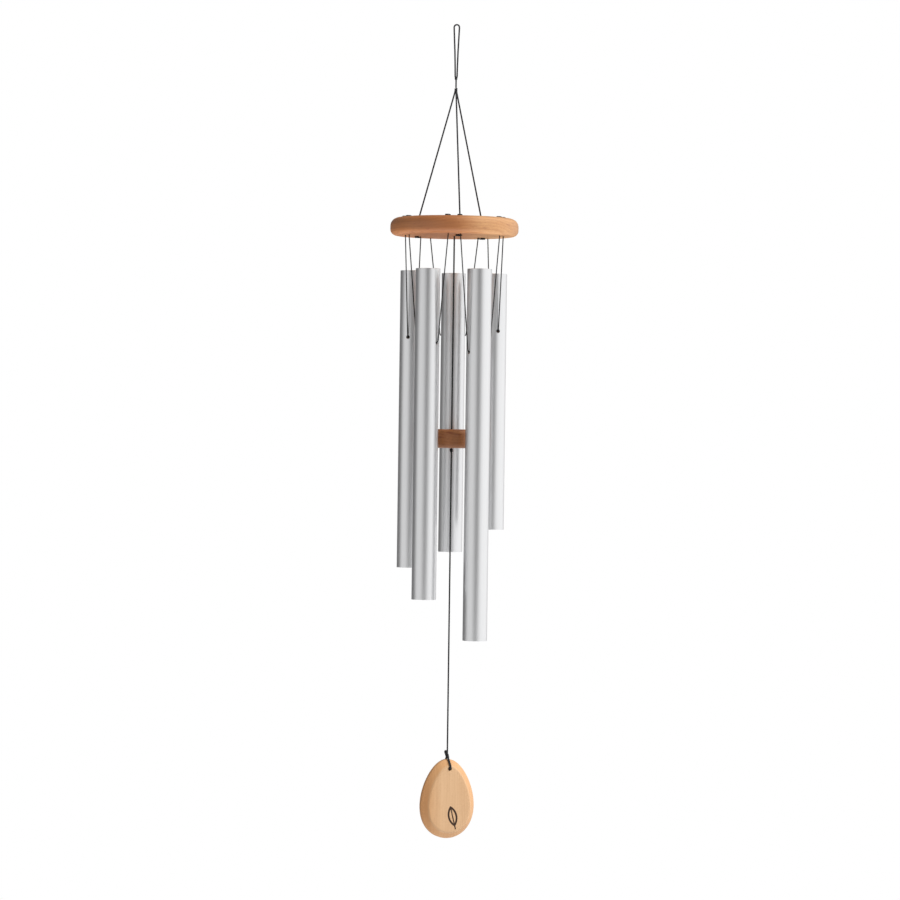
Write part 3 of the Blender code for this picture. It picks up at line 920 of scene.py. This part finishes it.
def make_supports(cord):
    for side, angle in SUPPORT_ANGLES.items():
        foot = DISC_CENTRE + round_the_axis(angle, SUPPORT_HOLE_RADIUS)
        start = round_the_axis(angle, GATHER_RADIUS)
        head = Vector((start.x, start.y, GATHER_BOTTOM - CONTACT_GAP))
        bend = Vector((foot.x, foot.y, DISC_TOP + 0.0008))
        end = Vector((foot.x, foot.y, DISC_BOTTOM))
        path = rounded_route((head, bend, end), BEND_RADIUS)
        inside = np.array((*(start * 0.55), GATHER_KNOT_MIDDLE + 0.0004))
        path = np.concatenate([[inside], path])
        knot = knot_at(
            foot,
            DISC_BOTTOM,
            f"support_end_{side}",
            f"support_knot_{side}",
            cord,
            KNOT_STRAND,
            SUPPORT_KNOT_LAY[side],
            DISC_BOTTOM + 0.003,
        )
        name = f"support_{side}"
        data = braid_mesh(name, path, CORD_DIAMETER)
        piece = add_piece(name, data, cord, "disc", [f"support_cord_{side}"])


# Slings and tubes


def make_sling(side, cord):
    tube = TUBES[side]
    middle = DISC_CENTRE + round_the_axis(tube["angle"], TUBE_RING_RADIUS)
    drop = tube["top_drop"] + NODE_SHARE * tube["length"]
    half_tube = TUBE_OUTER_DIAMETER / 2 + CONTACT_GAP + SLING_DIAMETER / 2
    corners = [
        (-SLING_HALF_SPREAD, 0.0, 0.0),
        (-half_tube, 0.0, -drop),
        (half_tube, 0.0, -drop),
        (SLING_HALF_SPREAD, 0.0, 0.0),
    ]
    path = rounded_route(corners, BEND_RADIUS)
    rise = np.array((0.0, 0.0, 0.0011))
    path = np.concatenate([[path[0] + rise], path, [path[-1] + rise]])
    place = Matrix.Translation((middle.x, middle.y, DISC_BOTTOM)) @ Matrix.Rotation(
        math.radians(tube["angle"]), 4, "Z"
    )
    path = moved(path, place)
    name = f"sling_line_{side}"
    data = braid_mesh(name, path, SLING_DIAMETER)
    piece = add_piece(name, data, cord, f"sling_{side}", [f"sling_{side}"])
    stub_to = DISC_BOTTOM + 0.0005
    for letter, hole, lay in zip("ab", sling_holes()[side], SLING_KNOT_LAY[side]):
        name = f"sling_{side}_knot_{letter}"
        knot_at(hole, DISC_TOP, f"{name}_cord", name, cord, SLING_DIAMETER, lay, stub_to)


def make_tube(side, metal):
    tube = TUBES[side]
    outer = TUBE_OUTER_DIAMETER / 2
    inner = outer - TUBE_WALL
    node = NODE_SHARE * tube["length"]
    top, bottom = node, node - tube["length"]
    edge = TUBE_EDGE_ROUNDING
    corners = [
        ((outer - edge, top - edge), math.pi / 2, 0.0),
        ((outer - edge, bottom + edge), 0.0, -math.pi / 2),
        ((inner + edge, bottom + edge), -math.pi / 2, -math.pi),
        ((inner + edge, top - edge), math.pi, math.pi / 2),
    ]
    profile = [p for centre, start, end in corners for p in arc(centre, edge, start, end, 3)]
    data = mesh_from(lathe(profile, TUBE_STEPS, True), side)
    drill = drill_profile(TUBE_HOLE_DIAMETER, 1.5 * outer, outer)
    data = drilled(data, drill, [Matrix.Rotation(math.pi / 2, 4, "Y")], side)
    middle = DISC_CENTRE + round_the_axis(tube["angle"], TUBE_RING_RADIUS)
    place = Matrix.Translation((middle.x, middle.y, DISC_BOTTOM - tube["top_drop"] - node))
    data.transform(place @ Matrix.Rotation(math.radians(tube["angle"]), 4, "Z"))
    add_piece(f"chime_{side}", data, metal, f"tube_{side}", [f"tube_{side}"])


# Centre line: striker and sail


def make_striker(wood):
    profile = rounded_edge_profile(
        STRIKER_DIAMETER, STRIKER_THICKNESS, STRIKER_TOP_ROUNDING, STRIKER_BOTTOM_ROUNDING
    )
    data = mesh_from(lathe(profile, STRIKER_STEPS, False), "striker")
    middle = Vector((*DISC_CENTRE, STRIKER_CENTRE))
    data.transform(Matrix.Translation(middle))
    drill = drill_profile(STRIKER_BORE, STRIKER_THICKNESS, STRIKER_THICKNESS / 2)
    data = drilled(data, drill, [Matrix.Translation(middle)], "striker")
    add_piece("striker_disc", data, wood, "striker", ["striker"])


def plumb(top, bottom):
    """The two ends of a stretch of the centre line."""
    return [(*DISC_CENTRE, top), (*DISC_CENTRE, bottom)]


def make_clapper(cord):
    knot_at(
        DISC_CENTRE,
        DISC_TOP,
        "centre_knot_cord",
        "centre_knot",
        cord,
        CORD_DIAMETER,
        CENTRE_KNOT_LAY,
        DISC_BOTTOM + 0.001,
    )
    top, bottom = DISC_BOTTOM + 0.0015, STRIKER_KNOT_MIDDLE + 0.0006
    data = braid_mesh("clapper_line", plumb(top, bottom), CORD_DIAMETER)
    line = add_piece("clapper_line", data, cord, None, ["clapper_neck", "clapper_cord"])
    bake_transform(line)
    place = Matrix.Translation((*DISC_CENTRE, STRIKER_KNOT_MIDDLE))
    place @= Matrix.Rotation(STRIKER_KNOT_TURN, 4, "Z")
    path = moved(ball_knot(STRIKER_KNOT_SIZE), place)
    data = braid_mesh("striker_knot_cord", path, STRIKER_KNOT_STRAND)
    knot = add_piece("striker_knot_cord", data, cord, "clapper", ["striker_knot"])


def sail_place():
    """The sail's own axes: origin at the top of its outline, X across its face, Z up."""
    return Matrix.Translation((*DISC_CENTRE, SAIL_TOP)) @ Matrix.Rotation(SAIL_YAW, 4, "Z")


def egg_outline(inset, steps):
    widest = max(
        math.sin(t) * (1 - SAIL_TAPER * math.cos(t))
        for t in (math.pi * i / 360 for i in range(361))
    )
    points = []
    for i in range(steps):
        t = 2 * math.pi * i / steps
        x = SAIL_WIDTH / 2 * math.sin(t) * (1 - SAIL_TAPER * math.cos(t)) / widest
        points.append(Vector((x, SAIL_HEIGHT / 2 * math.cos(t))))
    drawn = []
    for i, point in enumerate(points):
        along = (points[(i + 1) % steps] - points[i - 1]).normalized()
        drawn.append(point + Vector((along.y, -along.x)) * inset)
    return drawn


def make_sail(wood):
    """The egg, its outline drawn in step by step through the chamfer on each face."""
    half, steps = SAIL_THICKNESS / 2, SAIL_STEPS
    corners = [
        (SAIL_CHAMFER + 0.004, -half, 0.0),
        (SAIL_CHAMFER, -half, 0.0022),
        (0.0, SAIL_CHAMFER - half, 0.0008),
        (0.0, half - SAIL_CHAMFER, 0.0008),
        (SAIL_CHAMFER, half, 0.0022),
        (SAIL_CHAMFER + 0.004, half, 0.0),
    ]
    section = [corners[0][:2]]
    for before, corner, after in zip(corners, corners[1:], corners[2:]):
        run = rounded_route([(*point[:2], 0) for point in (before, corner, after)], corner[2], 4)
        section += [(p[0], p[1]) for p in run[1:-1]]
    section.append(corners[-1][:2])
    shape = bmesh.new()
    rings = []
    for inset, depth in section:
        outline = egg_outline(inset, steps)
        rings.append([shape.verts.new((p.x, depth, p.y - SAIL_HEIGHT / 2)) for p in outline])
    for ring, after in zip(rings, rings[1:]):
        for i in range(steps):
            j = (i + 1) % steps
            shape.faces.new((ring[i], ring[j], after[j], after[i]))
    shape.faces.new(rings[0])
    shape.faces.new(rings[-1])
    data = mesh_from(shape, "sail_egg")
    hole = Matrix.Translation((0.0, 0.0, -SAIL_HOLE_DROP - SAIL_HOLE_SINK))
    drill = drill_profile(SAIL_HOLE_DIAMETER, SAIL_THICKNESS, half)
    data = drilled(data, drill, [hole @ Matrix.Rotation(math.pi / 2, 4, "X")], "sail_egg")
    data.transform(sail_place())
    add_piece("sail_egg", data, wood, "sail", ["sail"])


def make_sail_line(cord):
    clear = CONTACT_GAP + CORD_DIAMETER / 2
    face = SAIL_THICKNESS / 2 + clear
    rise = clear * (math.sqrt(2) - 1)
    middle = TIE_KNOT_MIDDLE - SAIL_TOP

    # Two strands side by side through the hole, then round turns above and a short tail
    half_loop = [
        (0.0, -TIE_HALF_SPREAD, middle),
        (0.0, SAIL_CHAMFER - SAIL_THICKNESS / 2 - rise, clear),
        (0.0, -face, rise - SAIL_CHAMFER),
        (0.0, -face, -SAIL_HOLE_DROP),
    ]
    other_half = [(x, -y, z) for x, y, z in reversed(half_loop)]
    route = rounded_route(half_loop + other_half, 0.0010, 6)
    parts = []
    for index, shift in enumerate((-TIE_STRAND_SHIFT, TIE_STRAND_SHIFT)):
        strand = moved(route + np.array((shift, 0.0, 0.0)), sail_place())
        parts.append(braid_mesh(f"strand_{index}", strand, KNOT_STRAND))
    lean = Matrix.Rotation(TIE_KNOT_LEAN, 4, "Y")
    knot_place = sail_place() @ Matrix.Translation((-0.0006, 0.0, middle - 0.0004)) @ lean
    turns = wraps(TIE_WRAP_RADIUS, TIE_WRAP_PITCH, TIE_WRAPS)
    parts.append(braid_mesh("turns", moved(turns, knot_place), TIE_STRAND))
    tail = [(0.0, -0.0003, 0.0020), (-0.0002, -0.0006, 0.0032), (-0.0008, -0.0007, 0.0043)]
    tail = moved(smooth_through(tail), knot_place)
    parts.append(braid_mesh("tail", tail, KNOT_STRAND, cut_end=True))
    data = joined("sail_tie_cord", parts)
    tie = add_piece("sail_tie_cord", data, cord, "sail_tie", ["sail_tie"])
    top, bottom = STRIKER_KNOT_MIDDLE - 0.0004, TIE_KNOT_MIDDLE + 0.0006
    data = braid_mesh("sail_line", plumb(top, bottom), CORD_DIAMETER)
    line = add_piece("sail_line", data, cord, None, ["sail_neck", "sail_cord"])
    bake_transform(line)


# The scene, from the top of the chime down

make_camera()
make_studio()

CORD = braided_polyester("braided_cord")
make_hanger(CORD)
make_supports(CORD)
for SIDE in TUBES:
    make_sling(SIDE, CORD)
make_clapper(CORD)
make_sail_line(CORD)

ALUMINIUM = satin_aluminium("satin_aluminium")
for SIDE in TUBES:
    make_tube(SIDE, ALUMINIUM)

DISC = make_disc(
    beech(
        "disc_beech",
        middle=Vector((*DISC_CENTRE, DISC_TOP - DISC_THICKNESS / 2)),
        turns=[(0.0, 0.0, math.radians(-14.0))],
        pith=(3.0, 20.0, -150.0),
        tones=BROWN_TONES,
        # Painted light on the disc's right side, painted shade on its left
        painted_light_side=(-2.0, 34.0),
        heart=(-44.0, -26.0, -4.0, 20.0, 0.5),
        figure=0.30,
    )
)
light_only(
    add_panel(
        "panel_under",
        aim=DISC_BOTTOM,
        azimuth=0.0,
        elevation=-89.9,
        distance=0.455,
        size=(0.6, 0.6),
        radiance=4.2,
    ),
    DISC,
)
make_striker(
    beech(
        "striker_beech",
        middle=Vector((*DISC_CENTRE, STRIKER_CENTRE)),
        turns=[(0.0, 0.0, math.radians(-8.0))],
        pith=(0.0, -30.0, 120.0),
        tones=BROWN_TONES,
        # Painted shade: the striker is nearly all the shaded side's tan
        painted_light_side=(0.0, 120.0),
        heart=(-60.0, -50.0, 50.0, 60.0, 0.2),
        figure=0.36,
    )
)
make_sail(
    beech(
        "sail_beech",
        middle=sail_place() @ Vector((0.0, 0.0, -SAIL_HEIGHT / 2)),
        turns=[(0.0, 0.0, -SAIL_YAW), (0.0, math.radians(90.0), 0.0)],
        pith=(0.0, 25.0, 90.0),
        tones=PALE_TONES,
        # Painted shade on the sail's left edge: tan there, pale over the rest of the face
        painted_light_side=(-26.0, -2.0),
        heart=None,
        figure=0.10,
        mark=burned_leaf,
    )
)
